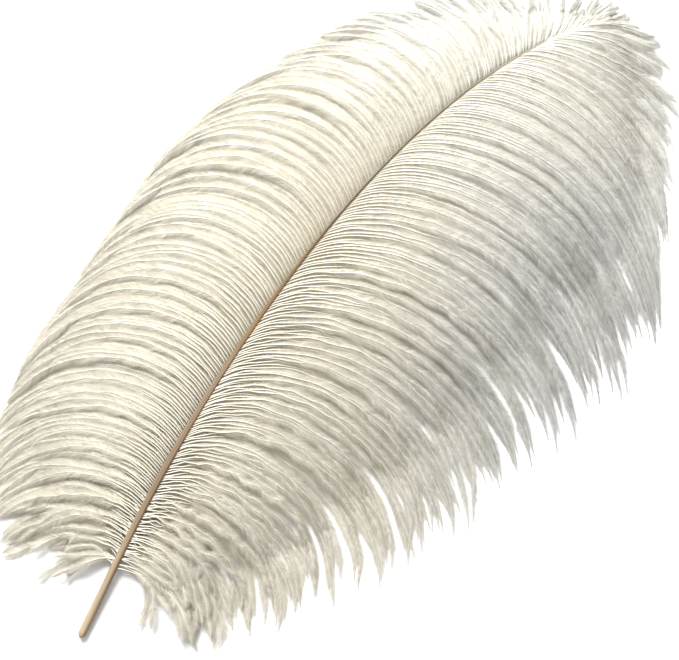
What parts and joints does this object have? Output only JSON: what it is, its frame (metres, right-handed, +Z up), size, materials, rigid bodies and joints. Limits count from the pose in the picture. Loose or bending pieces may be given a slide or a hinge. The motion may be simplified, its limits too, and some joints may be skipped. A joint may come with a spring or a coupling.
{
  "type": "ostrich feather",
  "caption": "Ivory white ostrich plume lying flat: tapered quill and shaft with a broad, drooping, fluffy vane on each side.",
  "frame": {"origin": "on the surface it lies on, under the middle of its bounding box", "axes": "+Y from the quill's end towards the tip, +Z up out of the surface, away from the side it lies on"},
  "size_m": [0.2239, 0.354, 0.016],
  "materials": {
    "vane": "matte",
    "shaft": "satin"
  },
  "bodies": {
    "root": {"ostrich_feather": "vane"}
  },
  "joints": []
}
